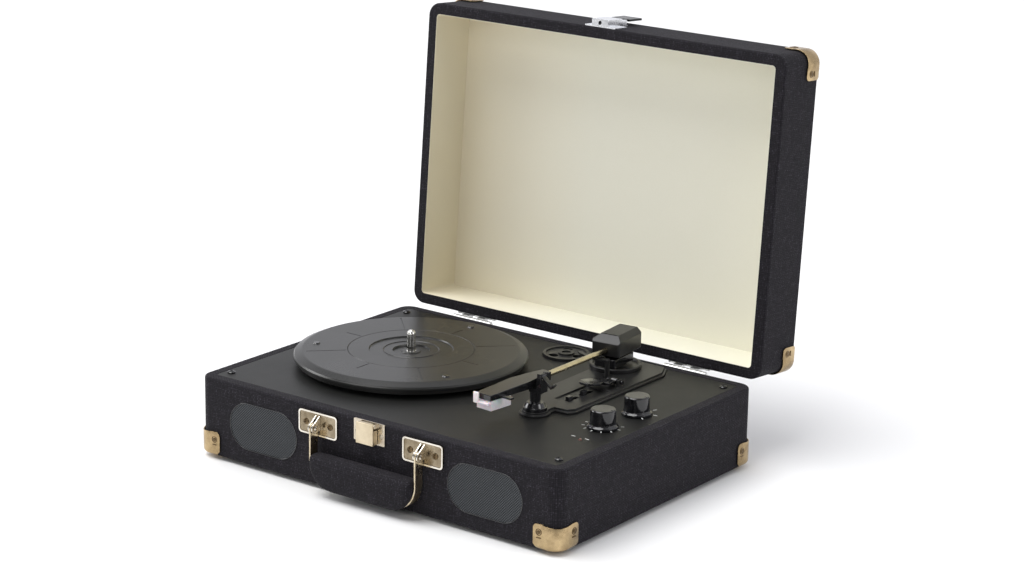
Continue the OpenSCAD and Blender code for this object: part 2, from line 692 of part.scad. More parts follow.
module brass_corner() {
    difference() {
        intersection() {
            corner_shell(-brass_t, brass_h - brass_t, 0);
            corner_region(-brass_t, brass_h);
        }
        // the leg under the case is cut across
        translate([case_w / 2 - 22, 22, -5]) rotate(45) cube([60, 14, 10], center = true);
    }
    translate([case_w / 2 - 18, -brass_t + eps, brass_h - 6]) rotate([90, 0, 0]) cylinder(r1 = 2.2, r2 = 1.2, h = 0.7);
    translate([case_w / 2 + brass_t - eps, 18, brass_h - 6]) rotate([0, 90, 0]) cylinder(r1 = 2.2, r2 = 1.2, h = 0.7);
}

module four_corners() {
    mirror_x() {
        brass_corner();
        translate([0, case_d, 0]) mirror([0, 1, 0]) brass_corner();
    }
}

module base_corners() color(brass) four_corners();
module lid_corners() color(brass) opened() translate([0, 0, lid_top]) mirror([0, 0, 1]) four_corners();

// ---------- hinges ----------
module knuckles(r, from, to) {
    for (i = [0:4]) if (i % 2 == from) translate([-20 + i * 8 + 4, hinge_y, hinge_z]) rod_x(r, 7.8);
}

module hinge_base_leaves() color(steel) for (s = [-1, 1]) translate([s * hinge_x, 0, 0]) difference() {
    union() {
        translate([0, case_d + 1.2, 50.5]) front_plate(40, 15, 1.2, 1.5);
        knuckles(barrel_r, 0);
        for (i = [0, 2, 4]) translate([-20 + i * 8 + 0.1, case_d, 55.4]) cube([7.8, 3.96, 2.6]);
    }
    translate([0, hinge_y, hinge_z]) rod_x(1.1, 60);
}

module hinge_lid_leaves() color(steel) opened() for (s = [-1, 1]) translate([s * hinge_x, 0, 0]) difference() {
    union() {
        translate([0, case_d + 1.2, 72]) front_plate(40, 15, 1.2, 1.5);
        knuckles(barrel_r, 1);
        for (i = [1, 3]) translate([-20 + i * 8 + 0.1, case_d + 0.3, 61]) cube([7.8, 3, 5]);
    }
    translate([0, hinge_y, hinge_z]) rod_x(1.15, 60);
}

module hinge_pins() color(steel) for (s = [-1, 1]) translate([s * hinge_x, hinge_y, hinge_z]) rod_x(1.1, 40.4);

// ---------- feet and sockets ----------
module rubber_feet() color(gloss_black) mirror_x() for (y = [26, case_d - 26]) translate([146, y, 0]) {
    translate([0, 0, -foot_h]) cylinder(r1 = 6.5, r2 = 7.5, h = foot_h);
    translate([0, 0, -eps]) cylinder(r = 1.5, h = 3);
}

module rear_panel() color(deck_black) translate([panel_x, 0, panel_z]) difference() {
    union() {
        translate([0, case_d + 1.2, 0]) front_plate(70, 32, 1.2, 3);
        translate([0, case_d + eps, 0]) front_plate(63.6, 25.6, 3, 2);
    }
    for (x = [-24, -8]) translate([x, case_d, 0]) rod_y(4.52, 20);
    translate([8, case_d, 0]) rod_y(3.02, 20);
    translate([24, case_d, 0]) rod_y(4.52, 20);
}

module rear_jacks() color(steel) translate([panel_x, 0, panel_z]) {
    for (x = [-24, -8]) translate([x, case_d, 0]) difference() {
        union() {
            translate([0, 5.5, 0]) rod_y(4.15, 8.62);
            translate([0, -1.8, 0]) rod_y(4.5, 6);
            translate([0, -5.5, 0]) rod_y(6, 5);
        }
        translate([0, 6, 0]) rod_y(1.6, 14);
    }
    translate([8, case_d - 2, 0]) difference() {
        rod_y(3, 10);
        translate([0, 2, 0]) rod_y(1.8, 8.5);
    }
    translate([24, case_d - 2, 0]) {
        difference() {
            rod_y(4.5, 10);
            translate([0, 3, 0]) rod_y(2.9, 10);
        }
        rod_y(0.9, 7);
    }
}

// ---------- lid ----------
module lid_box() color(wood) opened() difference() {
    case_block(lid_z + cloth_t, lid_top - cloth_t, cloth_t, corner_r - cloth_t);
    case_block(lid_z - 1, ceiling, wall, 3);
}

module lid_wrap() color(black_cloth) opened() difference() {
    case_block(lid_z, lid_top);
    case_block(lid_z + cloth_t, lid_top - cloth_t, cloth_t, corner_r - cloth_t);
    case_block(lid_z - 1, lid_top - 2 * board_t, wall, 3);
}

module lid_lining() color(cream) opened() difference() {
    case_block(lid_z, ceiling, wall, 3);
    case_block(lid_z - 1, ceiling - lining_t, wall + lining_t, 2.6);
}

module lid_catch() color(nickel) opened() translate([latch_x, 0, 0]) {
    translate([0, 0, lid_z + 9.4]) front_plate(30, 17, 1, 1);
    difference() {
        translate([-8, -6.6, lid_z + 0.9]) cube([16, 5.6 + eps, 20]);
        translate([-6.8, -5.6, lid_z + 2.1]) cube([13.6, 4.6 + eps, 17.6]);
        translate([0, -3.6, lid_z]) cylinder(r = 1.6, h = 4);
    }
    for (x = [-8, 6.8]) translate([x, -5.4, lid_z + 17]) cube([1.2, 4.4 + eps, 10.4]);
    translate([0, -3.4, lid_z + 25]) rod_x(0.9, 16);
    translate([-8, -1, lid_z + 17]) cube([16, 1, 12]);
}

module catch_lever() color([0.3, 0.29, 0.28]) opened() translate([latch_x, -3.4, lid_z + 25]) difference() {
    union() {
        rod_x(2, 13);
        translate([-6.5, -1.9, 0]) cube([13, 1.5, 8]);
        translate([-9, -2.2, 4.6]) cube([18, 1.8, 18]);
    }
    rod_x(0.95, 20);
}

// ---------- one line per node ----------
place() base_walls();
place() base_bottom();
place() base_wrap();
place() deck_plate();
place() deck_screws();
place() platter();
place() platter_studs();
place() spindle();
place() spindle_bush();
place() drive_belt();
place() motor();
place() motor_pulley();
place() motor_grommets();
place() adapter_45();
place() tonearm_base();
place() pivot_pedestal();
place() tonearm_yoke();
place() arm_pivot_pin();
place() tonearm_housing();
place() tonearm_tube();
place() headshell();
place() cartridge();
place() stylus();
place() stylus_guard();
place() counterweight();
place() arm_rest();
place() arm_clip();
place() cue_lever();
place() cue_platform();
place() speed_switch();
place() autostop_switch();
place() volume_knob();
place() mode_knob();
place() control_pots();
place() circuit_board();
place() power_led();
place() speaker_drivers();
place() speaker_cones();
place() speaker_grilles();
place() handle_grip();
place() handle_strap();
place() handle_brackets();
place() handle_pins();
place() bracket_screws();
place() latch_plate();
place() latch_lever();
place() latch_pin();
place() lid_catch();
place() catch_lever();
place() base_corners();
place() lid_corners();
place() hinge_base_leaves();
place() hinge_lid_leaves();
place() hinge_pins();
place() rubber_feet();
place() rear_panel();
place() rear_jacks();
place() lid_box();
place() lid_wrap();
place() lid_lining();
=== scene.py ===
import json
import math

import bpy
from mathutils import Euler, Matrix, Vector


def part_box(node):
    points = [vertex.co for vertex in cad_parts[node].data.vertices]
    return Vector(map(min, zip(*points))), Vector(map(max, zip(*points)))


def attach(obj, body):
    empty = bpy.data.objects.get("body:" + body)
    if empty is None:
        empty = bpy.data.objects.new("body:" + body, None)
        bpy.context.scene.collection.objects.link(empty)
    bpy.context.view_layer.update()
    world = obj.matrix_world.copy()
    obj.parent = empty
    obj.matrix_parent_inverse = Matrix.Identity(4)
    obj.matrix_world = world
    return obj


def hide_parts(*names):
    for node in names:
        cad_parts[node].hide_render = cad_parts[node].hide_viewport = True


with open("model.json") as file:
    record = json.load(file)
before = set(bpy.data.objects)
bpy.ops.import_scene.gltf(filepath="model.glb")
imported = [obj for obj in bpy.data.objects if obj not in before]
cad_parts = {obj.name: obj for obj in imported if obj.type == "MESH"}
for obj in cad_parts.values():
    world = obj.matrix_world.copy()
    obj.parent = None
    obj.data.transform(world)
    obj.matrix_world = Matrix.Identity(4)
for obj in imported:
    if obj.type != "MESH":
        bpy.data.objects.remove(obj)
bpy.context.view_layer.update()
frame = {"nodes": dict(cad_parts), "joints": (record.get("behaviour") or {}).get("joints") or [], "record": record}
nodes = frame["nodes"]
record = frame["record"]
bodyOf = {n: body for body, members in record["behaviour"]["bodies"].items() for n in members}
jointOf = {j["name"]: j for j in frame["joints"]}
mountOf = {m["name"]: m for m in record["mounts"]}
print("frame loaded,", len(nodes), "nodes")


# ---- shader maths ----
class Wire:
    def __init__(self, paint, socket):
        self.paint = paint
        self.socket = socket

    def maths(self, operation, other=None, flipped=False):
        pair = [self] if other is None else [self, other]
        return self.paint.node("ShaderNodeMath", {"operation": operation}, pair[::-1] if flipped else pair)

    def __add__(self, other):
        return self.maths("ADD", other)

    def __sub__(self, other):
        return self.maths("SUBTRACT", other)

    def __rsub__(self, other):
        return self.maths("SUBTRACT", other, True)

    def __mul__(self, other):
        return self.maths("MULTIPLY", other)

    def __pow__(self, other):
        return self.maths("POWER", other)

    def __gt__(self, other):
        return self.maths("GREATER_THAN", other)

    def __abs__(self):
        return self.maths("ABSOLUTE")

    __radd__ = __add__
    __rmul__ = __mul__


class Paint:
    def __init__(self, name, **surface):
        self.material = bpy.data.materials.new(name)
        self.material.use_nodes = True
        self.tree = self.material.node_tree
        self.tree.nodes.clear()
        out = self.tree.nodes.new("ShaderNodeOutputMaterial")
        self.shader = self.tree.nodes.new("ShaderNodeBsdfPrincipled")
        self.tree.links.new(self.shader.outputs[0], out.inputs[0])
        for key, value in surface.items():
            self.set(key, value)

    def set(self, key, value):
        words = {"color": "Base Color", "rough": "Roughness", "metal": "Metallic", "coat": "Coat Weight",
                 "coatRough": "Coat Roughness", "sheen": "Sheen Weight", "sheenRough": "Sheen Roughness",
                 "normal": "Normal", "specular": "Specular IOR Level",
                 "subsurface": "Subsurface Weight", "subsurfaceScale": "Subsurface Scale"}
        self.plug(self.shader.inputs[words[key]], value)

    def plug(self, socket, value):
        if isinstance(value, Wire):
            self.tree.links.new(value.socket, socket)
            return
        if isinstance(value, tuple) and len(value) == 3 and socket.type == "RGBA":
            value = (*value, 1)
        socket.default_value = value

    def node(self, kind, settings=None, values=None, output=0):
        made = self.tree.nodes.new(kind)
        for key, value in (settings or {}).items():
            if key == "stops":
                stops = made.color_ramp.elements
                stops[0].position, stops[1].position = value[0][0], value[-1][0]
                for place, shade in value[1:-1]:
                    stops.new(place)
                for stop, (place, shade) in zip(stops, value):
                    stop.color = (*shade, 1) if isinstance(shade, tuple) else (shade, shade, shade, 1)
            else:
                setattr(made, key, value)
        pairs = values.items() if isinstance(values, dict) else enumerate(values or [])
        for key, value in pairs:
            self.plug(made.inputs[key], value)
        return Wire(self, made.outputs[output])

    def place(self, turn=(0, 0, 0), centre=(0, 0, 0), source="Object"):
        turned = Euler(turn).to_matrix() @ Vector(centre)
        shift = tuple(-turned) if source == "Object" else (0, 0, 0)
        raw = self.node("ShaderNodeTexCoord", {}, {}, source)
        return self.node("ShaderNodeMapping", {}, {"Vector": raw, "Location": shift, "Rotation": turn})

    def split(self, vector):
        parted = self.node("ShaderNodeSeparateXYZ", {}, [vector])
        return [Wire(self, socket) for socket in parted.socket.node.outputs]

    def noise(self, vector, scale, detail=3.0, rough=0.55):
        values = {"Vector": vector, "Scale": scale, "Detail": detail, "Roughness": rough}
        return self.node("ShaderNodeTexNoise", {}, values, "Fac")

    def ramp(self, factor, *stops):
        return self.node("ShaderNodeValToRGB", {"stops": stops}, {"Fac": factor})

    def blend(self, factor, first, second):
        return self.node("ShaderNodeMix", {"data_type": "RGBA"}, {0: factor, 6: first, 7: second}, 2)

    def bump(self, height, strength, distance):
        return self.node("ShaderNodeBump", {}, {"Height": height, "Strength": strength, "Distance": distance})


# the lid is drawn shut and then swung open, so its patterns are squared to the shut lid
lidJoint = jointOf["lid_hinge"]
lidPivot = Vector(lidJoint["pos_m"])
lidAngle = math.radians(lidJoint["range_deg"][1])
openLid = (Matrix.Translation(lidPivot) @ Matrix.Rotation(-lidAngle, 4, "X") @ Matrix.Translation(-lidPivot))
shutLid = openLid.inverted()

cloth = {"pitch": 0.00145, "dark": (0.0024, 0.0021, 0.0028), "thread": (0.0180, 0.0162, 0.0203),
         "fleck": (0.060, 0.054, 0.069), "relief": 0.00030}


def clothPaint(name, turn=(0, 0, 0)):
    p = Paint(name, sheen=0.02, sheenRough=0.5, specular=0.16)
    at = p.place(turn)
    x, y, z = p.split(at)
    nx, ny, nz = p.split(p.place(turn, source="Normal"))
    side = abs(nx) > 0.71
    flat = abs(nz) > 0.6
    u = x * (1 - side) + y * side
    v = z * (1 - flat) + y * flat
    # where the side and the flat meet, the flat wins
    u = u * (1 - flat) + x * flat
    waver = p.noise(at, 90, 2) * 0.0007
    pitch = cloth["pitch"]
    warp = ((u + waver) * (math.pi / pitch)).maths("SINE")
    weft = ((v + waver) * (math.pi / pitch)).maths("SINE")
    over = (warp * weft) > 0
    warpRound = abs(warp) ** 0.6
    weftRound = abs(weft) ** 0.6
    warpHeight = warpRound * (0.55 + 0.45 * weftRound)
    weftHeight = weftRound * (0.5 + 0.4 * warpRound)
    height = over * warpHeight + (1 - over) * weftHeight
    alongWarp = p.node("ShaderNodeCombineXYZ", {}, [u * (1.1 / pitch), v * (0.16 / pitch), side * 7])
    alongWeft = p.node("ShaderNodeCombineXYZ", {}, [u * (0.16 / pitch), v * (1.1 / pitch), side * 5 + 3])
    slub = over * p.noise(alongWarp, 1.0, 1.5, 0.7) + (1 - over) * p.noise(alongWeft, 1.0, 1.5, 0.7)
    paleness = p.ramp(slub, (0.50, 0.0), (0.74, 1.0))
    tone = p.blend(height, cloth["dark"], cloth["thread"])
    patches = p.ramp(p.noise(at, 14, 2), (0.3, 0.75), (0.7, 1.0))
    p.set("color", p.blend(paleness * height * patches, tone, cloth["fleck"]))
    p.set("rough", 0.72 + 0.2 * p.noise(at, 400, 2))
    fuzz = p.noise(at, 2600, 2)
    p.set("normal", p.bump(height + slub * 0.5 + fuzz * 0.25, 0.75, cloth["relief"]))
    return p.material


def liningPaint(name, turn):
    p = Paint(name, specular=0.25)
    at = p.place(turn)
    mottle = p.noise(at, 9, 4, 0.6)
    fibre = p.noise(at, 950, 3, 0.7)
    pale = p.blend(mottle, (0.80, 0.785, 0.665), (0.85, 0.835, 0.72))
    # the paper is painted tanner towards one side: partly yellowing, partly painted shade near the lid's left wall
    x, y, z = p.split(at)
    yellowingAndShade = p.ramp(x * -3.4 + mottle * 0.25, (0.22, 0.0), (0.75, 1.0))
    pale = p.blend(yellowingAndShade * 0.55, pale, (0.70, 0.585, 0.37))
    p.set("color", p.blend(fibre * 0.14, pale, (0.56, 0.49, 0.36)))
    p.set("rough", 0.66 + 0.16 * fibre)
    p.set("normal", p.bump(fibre + 0.6 * p.noise(at, 180, 2), 0.35, 0.00012))
    return p.material


def mouldedPaint(name, color, rough, grain=0.35, grainScale=2600, specular=0.4):
    p = Paint(name, specular=specular)
    at = p.place()
    cloud = p.noise(at, 22, 4, 0.6)
    fine = p.noise(at, grainScale, 2, 0.5)
    lighter = tuple(c * 1.7 + 0.004 for c in color)
    p.set("color", p.blend(cloud * 0.55, color, lighter))
    p.set("rough", rough - 0.06 + 0.13 * cloud + 0.05 * fine)
    p.set("normal", p.bump(fine, grain, 0.00006))
    return p.material


def glossPaint(name, color=(0.008, 0.008, 0.009), rough=0.12):
    p = Paint(name, coat=0.35, coatRough=0.05)
    at = p.place()
    smudge = p.noise(at, 60, 4, 0.65)
    p.set("color", p.blend(smudge * 0.4, color, tuple(c * 1.8 + 0.002 for c in color)))
    p.set("rough", rough + 0.10 * p.ramp(smudge, (0.42, 0.0), (0.72, 1.0)))
    p.set("normal", p.bump(p.noise(at, 240, 2), 0.10, 0.00005))
    return p.material


turnedRings = {"pitch": 0.0011, "dark": (0.0105, 0.0105, 0.0098), "light": (0.021, 0.021, 0.019)}


def platterPaint(name):
    centre = mountOf["spindle"]["pos_m"]
    p = Paint(name, specular=0.45)
    at = p.place(centre=tuple(centre))
    x, y, z = p.split(at)
    radius = (x * x + y * y) ** 0.5
    turned = (radius * (2 * math.pi / turnedRings["pitch"])).maths("SINE")
    cloud = p.noise(at, 16, 4, 0.6)
    fine = p.noise(at, 2400, 2)
    p.set("color", p.blend(cloud * 0.6, turnedRings["dark"], turnedRings["light"]))
    p.set("rough", 0.25 + 0.12 * cloud + 0.03 * turned)
    p.set("normal", p.bump(turned * 0.35 + fine * 0.5, 0.25, 0.00007))
    return p.material


def platedPaint(name, color, worn, rough, brushed=0.0, streak=(1, 1, 1), dip=None, cloud=70,
                patch=(0.40, 0.72)):
    p = Paint(name, metal=1.0)
    at = p.place()
    stretched = p.node("ShaderNodeMapping", {}, {"Vector": at, "Scale": streak})
    fog = p.noise(at, cloud, 4, 0.62)
    scratch = p.noise(stretched, 900, 3, 0.6)
    patina = p.ramp(fog, (patch[0], 0.0), (patch[1], 1.0))
    shade = p.blend(patina * 0.55 + scratch * 0.12, color, worn)
    if dip:
        # the pressed-in field of a plate is painted darker than its border: painted shade in the recess
        x, y, z = p.split(at)
        shade = p.blend(y > dip["depth"], shade, p.blend(patina, dip["light"], dip["deep"]))
    p.set("color", shade)
    p.set("rough", rough + 0.14 * patina + (0.06 + brushed) * scratch)
    p.set("normal", p.bump(scratch + 0.5 * fog, 0.06 + brushed, 0.00005))
    return p.material


def boardPaint(name):
    p = Paint(name)
    at = p.place()
    long = p.node("ShaderNodeMapping", {}, {"Vector": at, "Scale": (8, 60, 60)})
    grain = p.noise(long, 6, 6, 0.6)
    pores = p.noise(p.node("ShaderNodeMapping", {}, {"Vector": at, "Scale": (30, 400, 400)}), 4, 3)
    shades = ((0.3, (0.24, 0.14, 0.07)), (0.55, (0.47, 0.33, 0.19)), (0.75, (0.58, 0.43, 0.27)))
    p.set("color", p.ramp(grain, *shades))
    p.set("rough", 0.62 + 0.2 * pores)
    p.set("normal", p.bump(pores + grain, 0.3, 0.0002))
    return p.material


speakerCloth = {"pitch": 0.0021, "hole": (0.0035, 0.004, 0.0045), "dark": (0.044, 0.049, 0.055),
                "light": (0.082, 0.090, 0.100)}


def meshPaint(name):
    # speaker cloth: fine holes in a blue-grey weave, set out in a staggered grid
    p = Paint(name, specular=0.35)
    at = p.place()
    x, y, z = p.split(at)
    rising = ((x + z) * (math.pi / speakerCloth["pitch"])).maths("SINE")
    falling = ((x - z) * (math.pi / speakerCloth["pitch"])).maths("SINE")
    woven = p.ramp(abs(rising) * abs(falling), (0.18, 0.0), (0.62, 1.0))
    cloud = p.noise(at, 40, 3)
    thread = p.blend(cloud, speakerCloth["dark"], speakerCloth["light"])
    p.set("color", p.blend(woven, speakerCloth["hole"], thread))
    p.set("rough", 0.55 + 0.2 * cloud)
    p.set("normal", p.bump(woven, 0.5, 0.0002))
    return p.material


def rubberPaint(name, color=(0.012, 0.012, 0.012)):
    p = Paint(name, specular=0.3)
    at = p.place()
    dust = p.noise(at, 300, 4, 0.65)
    p.set("color", p.blend(dust * 0.5, color, (0.045, 0.045, 0.043)))
    p.set("rough", 0.6 + 0.25 * dust)
    p.set("normal", p.bump(dust, 0.25, 0.0001))
    return p.material


def milkyPaint(name, color, rough=0.22):
    p = Paint(name, subsurface=0.5, subsurfaceScale=0.004, coat=0.4, coatRough=0.08)
    at = p.place()
    cloud = p.noise(at, 120, 3)
    p.set("color", p.blend(cloud, color, tuple(min(1, c * 1.12) for c in color)))
    p.set("rough", rough + 0.1 * cloud)
    p.set("normal", p.bump(p.noise(at, 500, 2), 0.08, 0.00005))
    return p.material


def inkPaint(name, color):
    p = Paint(name, rough=0.55)
    at = p.place()
    speck = p.noise(at, 3200, 3, 0.7)
    p.set("color", p.blend(p.ramp(speck, (0.30, 1.0), (0.42, 0.0)), color, tuple(c * 0.55 for c in color)))
    p.set("normal", p.bump(speck, 0.2, 0.00004))
    return p.material


paints = {
    "cloth": clothPaint("blackLinen"),
    "lidCloth": clothPaint("blackLinenLid", (lidAngle, 0, 0)),
    "gripCloth": clothPaint("blackLinenGrip"),
    "lining": liningPaint("ivoryPaper", (lidAngle, 0, 0)),
    "deck": mouldedPaint("satinDeck", (0.0075, 0.0075, 0.0070), 0.42, 0.45, specular=0.28),
    "satin": mouldedPaint("satinBlack", (0.010, 0.010, 0.010), 0.30, 0.30),
    "gloss": glossPaint("glossBlack"),
    "knob": glossPaint("pianoBlack", (0.005, 0.005, 0.006), 0.07),
    "platter": platterPaint("turnedBlack"),
    "rubber": rubberPaint("blackRubber"),
    "steel": platedPaint("polishedSteel", (0.78, 0.77, 0.74), (0.52, 0.51, 0.48), 0.10),
    "nickel": platedPaint("warmNickel", (0.66, 0.59, 0.48), (0.40, 0.34, 0.25), 0.17, 0.02),
    "gilt": platedPaint("giltSteel", (0.76, 0.66, 0.48), (0.40, 0.30, 0.17), 0.20, 0.02),
    "brackets": platedPaint("bracketNickel", (0.86, 0.82, 0.74), (0.52, 0.46, 0.36), 0.15, 0.02,
                            # the pressed-in field takes darker colours, painted shade for the recess
                            dip={"depth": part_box("base_wrap")[0].y - 0.0015, "light": (0.36, 0.30, 0.21),
                                 "deep": (0.15, 0.115, 0.07)}),
    "latchGilt": platedPaint("satinGilt", (0.78, 0.68, 0.50), (0.56, 0.46, 0.31), 0.28, 0.04),
    "bright": platedPaint("brightNickel", (0.92, 0.93, 0.95), (0.66, 0.67, 0.68), 0.16, 0.02),
    # dark bronze, also used as painted shade for the slots pressed into the corner caps
    "bronzeAndSlotShade": platedPaint("darkBronzeAndSlotShade", (0.20, 0.14, 0.075), (0.06, 0.042, 0.025), 0.24, 0.02),
    "antique": platedPaint("antiqueBrass", (0.60, 0.45, 0.25), (0.11, 0.072, 0.034), 0.11, 0.02,
                           cloud=52, patch=(0.34, 0.62)),
    "hinge": platedPaint("brightZinc", (0.74, 0.74, 0.73), (0.50, 0.50, 0.49), 0.24, 0.05),
    "champagne": platedPaint("champagneTube", (0.74, 0.66, 0.47), (0.52, 0.44, 0.29), 0.12, 0.02,
                             streak=(1, 0.1, 1)),
    "bush": platedPaint("turnedBrass", (0.72, 0.53, 0.24), (0.45, 0.31, 0.13), 0.2, 0.04),
    "can": platedPaint("platedCan", (0.60, 0.60, 0.59), (0.38, 0.38, 0.37), 0.3, 0.08, streak=(1, 1, 0.1)),
    "iron": platedPaint("plainIron", (0.22, 0.21, 0.20), (0.10, 0.09, 0.085), 0.45, 0.1),
    # near-black metal for the catch lever: painted shade for a lever lying in shadow
    "leverShade": platedPaint("shadedBlackLever", (0.030, 0.030, 0.030), (0.012, 0.012, 0.012), 0.22, 0.02),
    "board": boardPaint("rawBoard"),
    "blackBoard": mouldedPaint("blackBoard", (0.012, 0.011, 0.010), 0.7, 0.6, 700),
    "mesh": meshPaint("speakerMesh"),
    "guard": milkyPaint("milkyGuard", (0.88, 0.76, 0.78)),
    "stylus": milkyPaint("redStylus", (0.55, 0.03, 0.02)),
    "led": milkyPaint("lampLens", (0.10, 0.035, 0.022)),
    "solder": mouldedPaint("solderMask", (0.015, 0.10, 0.035), 0.3, 0.2),
    "cone": mouldedPaint("pulpCone", (0.016, 0.015, 0.014), 0.8, 0.8, 1400),
    "ink": inkPaint("whiteInk", (0.72, 0.73, 0.72)),
    "redPlastic": glossPaint("redPlastic", (0.42, 0.02, 0.015), 0.25),
    "whitePlastic": glossPaint("whitePlastic", (0.66, 0.65, 0.62), 0.25),
}
print("materials made,", len(paints))


# ---- modelling helpers ----
def pick(*objects):
    if bpy.context.object and bpy.context.object.mode != "OBJECT":
        bpy.ops.object.mode_set(mode="OBJECT")
    bpy.ops.object.select_all(action="DESELECT")
    for piece in objects:
        piece.select_set(True)
    bpy.context.view_layer.objects.active = objects[0]


def settle(piece):
    pick(piece)
    bpy.ops.object.transform_apply(location=True, rotation=True, scale=True)
    return piece


def fresh(add, **settings):
    # adds a primitive with nothing else selected
    bpy.ops.object.select_all(action="DESELECT")
    add(**settings)
    return bpy.context.object


def block(location, size, turn=0):
    # a plain box of that size, turned about the upright axis
    made = fresh(bpy.ops.mesh.primitive_cube_add, size=1, location=location, rotation=(0, 0, turn))
    made.scale = size
    return settle(made)


def inEdit(piece, *steps):
    pick(piece)
    bpy.ops.object.mode_set(mode="EDIT")
    for step in steps:
        step()
    bpy.ops.object.mode_set(mode="OBJECT")


def selectAll():
    bpy.ops.mesh.select_all(action="SELECT")


def selectNone():
    bpy.ops.mesh.select_all(action="DESELECT")


def chooseNothing(piece, kind):
    inEdit(piece, lambda: bpy.ops.mesh.select_mode(type=kind), selectNone)


def chooseEdges(piece, test):
    # leaves only the edges that pass the test selected
    chooseNothing(piece, "EDGE")
    points = [v.co.copy() for v in piece.data.vertices]
    for edge in piece.data.edges:
        edge.select = bool(test(points[edge.vertices[0]], points[edge.vertices[1]]))


def chooseFaces(piece, test):
    chooseNothing(piece, "FACE")
    for face in piece.data.polygons:
        face.select = bool(test(face.center, face.normal))


def bevelChosen(piece, width, segments, corners=False):
    bpy.ops.object.mode_set(mode="EDIT")
    bpy.ops.mesh.bevel(offset=width, offset_type="OFFSET", segments=segments, profile=0.5,
                       affect="VERTICES" if corners else "EDGES", clamp_overlap=False)
    bpy.ops.object.mode_set(mode="OBJECT")


def modify(piece, kind, **settings):
    pick(piece)
    made = piece.modifiers.new(kind.title(), kind)
    for key, value in settings.items():
        setattr(made, key, value)
    bpy.ops.object.modifier_apply(modifier=made.name)


def roundEdges(piece, width, segments=2, angle=31):
    modify(piece, "BEVEL", width=width, segments=segments, limit_method="ANGLE",
           angle_limit=math.radians(angle), use_clamp_overlap=False, miter_outer="MITER_SHARP")


def smooth(piece, angle=38, flatFaces=True):
    pick(piece)
    bpy.ops.object.shade_smooth_by_angle(angle=math.radians(angle))
    if flatFaces:
        modify(piece, "WEIGHTED_NORMAL", weight=90, keep_sharp=True)


def wear(piece, paint):
    piece.data.materials.clear()
    piece.data.materials.append(paints[paint])


def standFor(piece, paint, *names, body=None):
    wear(piece, paint)
    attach(piece, body or bodyOf[names[0]])
    if names:
        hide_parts(*names)
    return piece


def cleanCopy(node, name):
    # a loose copy of the solid, with its triangles joined into whole faces
    piece = bpy.data.objects.new(name, nodes[node].data.copy())
    bpy.context.scene.collection.objects.link(piece)
    inEdit(piece, selectAll,
           lambda: bpy.ops.mesh.customdata_custom_splitnormals_clear(),
           lambda: bpy.ops.mesh.remove_doubles(threshold=0.000003),
           lambda: bpy.ops.mesh.dissolve_limited(angle_limit=math.radians(0.5)), selectNone)
    return piece


def outlineDepth(point, half, radius):
    # how far a point stands inside the rounded outline, in plan
    qx = abs(point.x) - (half[0] - radius)
    qy = abs(point.y) - (half[1] - radius)
    return radius - math.hypot(max(qx, 0), max(qy, 0)) - min(max(qx, qy), 0)


# ---- cloth over the case ----
caseOutline = {"cornerRadius": 0.011, "edgeRadius": 0.0020, "edgeSteps": 4, "levelSlack": 0.00003,
               "outlineSlack": 0.0001}
wrapLow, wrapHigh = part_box("base_wrap")
plan = Vector(((wrapLow.x + wrapHigh.x) / 2, (wrapLow.y + wrapHigh.y) / 2, 0))
half = ((wrapHigh.x - wrapLow.x) / 2, (wrapHigh.y - wrapLow.y) / 2)


def onOutline(point, height):
    depth = outlineDepth(point - plan, half, caseOutline["cornerRadius"])
    return abs(point.z - height) < caseOutline["levelSlack"] and abs(depth) < caseOutline["outlineSlack"]


baseCloth = cleanCopy("base_wrap", "baseCloth")
chooseEdges(baseCloth, lambda a, b: onOutline(a, wrapHigh.z) and onOutline(b, wrapHigh.z))
bevelChosen(baseCloth, caseOutline["edgeRadius"], caseOutline["edgeSteps"])
smooth(baseCloth, 50)
standFor(baseCloth, "cloth", "base_wrap")

lidCloth = cleanCopy("lid_wrap", "lidCloth")
shutPoints = [shutLid @ v.co for v in lidCloth.data.vertices]
lidBase = min(p.z for p in shutPoints)
lidPeak = max(p.z for p in shutPoints)
chooseEdges(lidCloth, lambda a, b: all(onOutline(shutLid @ p, lidPeak) for p in (a, b))
            or all(onOutline(shutLid @ p, lidBase) for p in (a, b)))
bevelChosen(lidCloth, caseOutline["edgeRadius"], caseOutline["edgeSteps"])
smooth(lidCloth, 50)
standFor(lidCloth, "lidCloth", "lid_wrap")
print("cloth wrapped")

